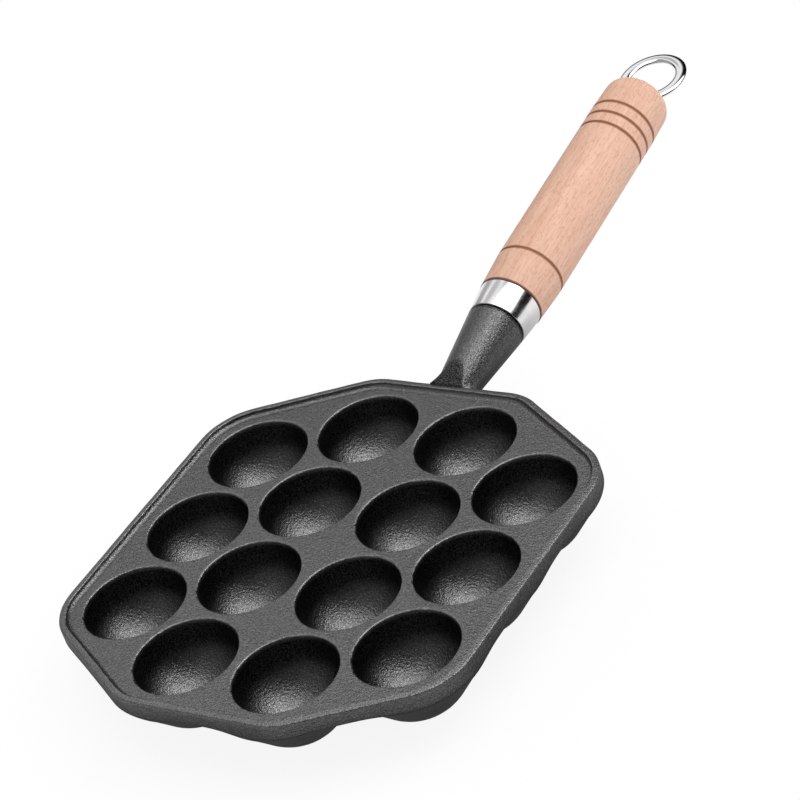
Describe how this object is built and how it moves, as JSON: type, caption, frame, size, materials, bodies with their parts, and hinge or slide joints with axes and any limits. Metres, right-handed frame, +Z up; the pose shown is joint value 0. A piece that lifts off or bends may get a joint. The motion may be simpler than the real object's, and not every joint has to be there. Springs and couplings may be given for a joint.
{
  "type": "takoyaki pan",
  "caption": "Cast-iron takoyaki pan: an octagonal plate of staggered round cups with a low rim, a steel ferrule, a turned wooden grip and a screwed hanging eye.",
  "frame": {"origin": "middle of the whole object's footprint, on the plane of the cups' flat feet", "axes": "+Y along the pan towards the handle, +Z up, +X across the pan"},
  "size_m": [0.1776, 0.3826, 0.0582],
  "materials": {
    "cast_iron": "sand-cast, matt black",
    "ferrule_steel": "polished",
    "beech": "turned and sanded, unvarnished",
    "washer_steel": "plain",
    "eye_chrome": "chromed"
  },
  "bodies": {
    "pan": {"pan_casting": "cast_iron", "ferrule": "ferrule_steel", "grip": "beech"},
    "washer": {"end_washer": "washer_steel"},
    "eye": {"hanging_eye": "eye_chrome"}
  },
  "joints": [
    {"name": "eye_travel", "type": "slide", "parent": "pan", "child": "washer", "axis": [0, 0.9925, 0.1219], "range_m": [0, 0.012]},
    {"name": "eye_turn", "type": "hinge", "parent": "washer", "child": "eye", "pos_m": [0, 0.17647, 0.04661], "axis": [0, 0.9925, 0.1219], "range_deg": [0, 4320]}
  ],
  "couplings": [
    {"joint": "eye_turn", "follows": "eye_travel", "rad_per_m": 6283.2}
  ]
}
